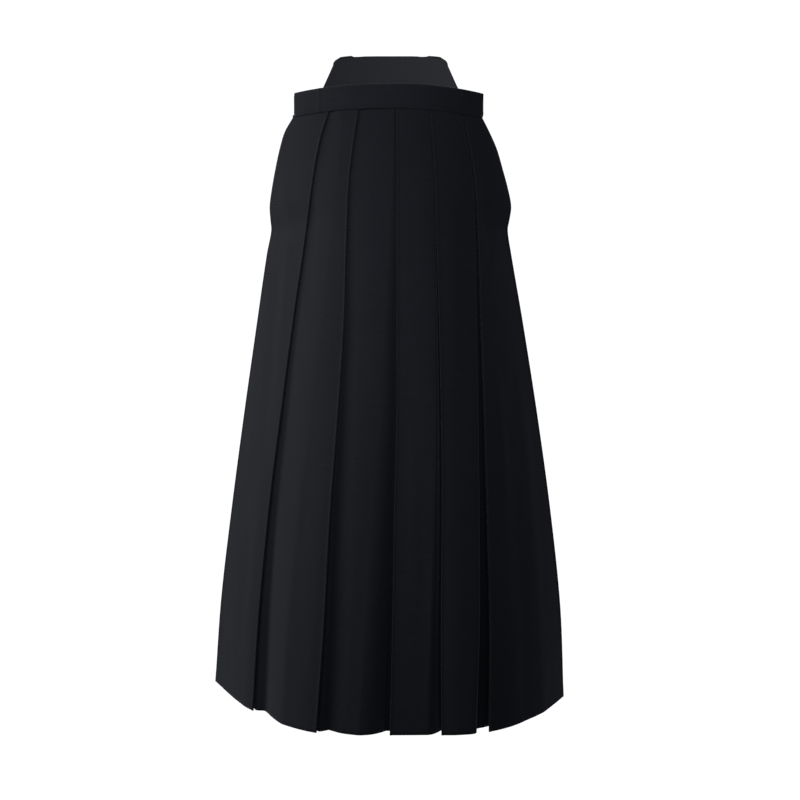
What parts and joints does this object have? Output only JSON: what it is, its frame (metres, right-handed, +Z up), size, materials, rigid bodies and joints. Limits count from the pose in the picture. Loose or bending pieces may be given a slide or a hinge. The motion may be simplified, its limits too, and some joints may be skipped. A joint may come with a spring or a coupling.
{
  "type": "hakama trousers",
  "caption": "Pleated divided hakama trousers in plain dark cloth, filled out as if worn, with front and back waistbands, ties and a stiff back board.",
  "frame": {"origin": "middle of the waist, level with the seam between the front band and the pleated cloth, where the wearer's waist holds the garment", "axes": "+Z up along the garment's length, -Y towards the front that the wearer faces, +X towards the wearer's left"},
  "size_m": [0.5334, 0.5182, 0.989],
  "materials": {
    "cloth": "matte near-black woven cloth with a fine rib and a blue tint",
    "band_cloth": "the same cloth folded over, top-stitched along its edges",
    "board_cover": "smooth tight cloth over a stiff board, slightly lighter than the trousers",
    "tie_cloth": "the same cloth folded into flat ties, stitched along both edges"
  },
  "bodies": {
    "root": {"front_right_leg": "cloth", "front_left_leg": "cloth", "back_right_leg": "cloth", "back_left_leg": "cloth", "inner_right_leg": "cloth", "inner_left_leg": "cloth", "front_band": "band_cloth", "back_band": "band_cloth", "back_board": "board_cover", "front_tie_right": "tie_cloth", "front_tie_left": "tie_cloth", "front_tie_knot": "tie_cloth", "front_tie_tail_right": "tie_cloth", "front_tie_tail_left": "tie_cloth", "back_tie_right": "tie_cloth", "back_tie_left": "tie_cloth"}
  },
  "joints": []
}
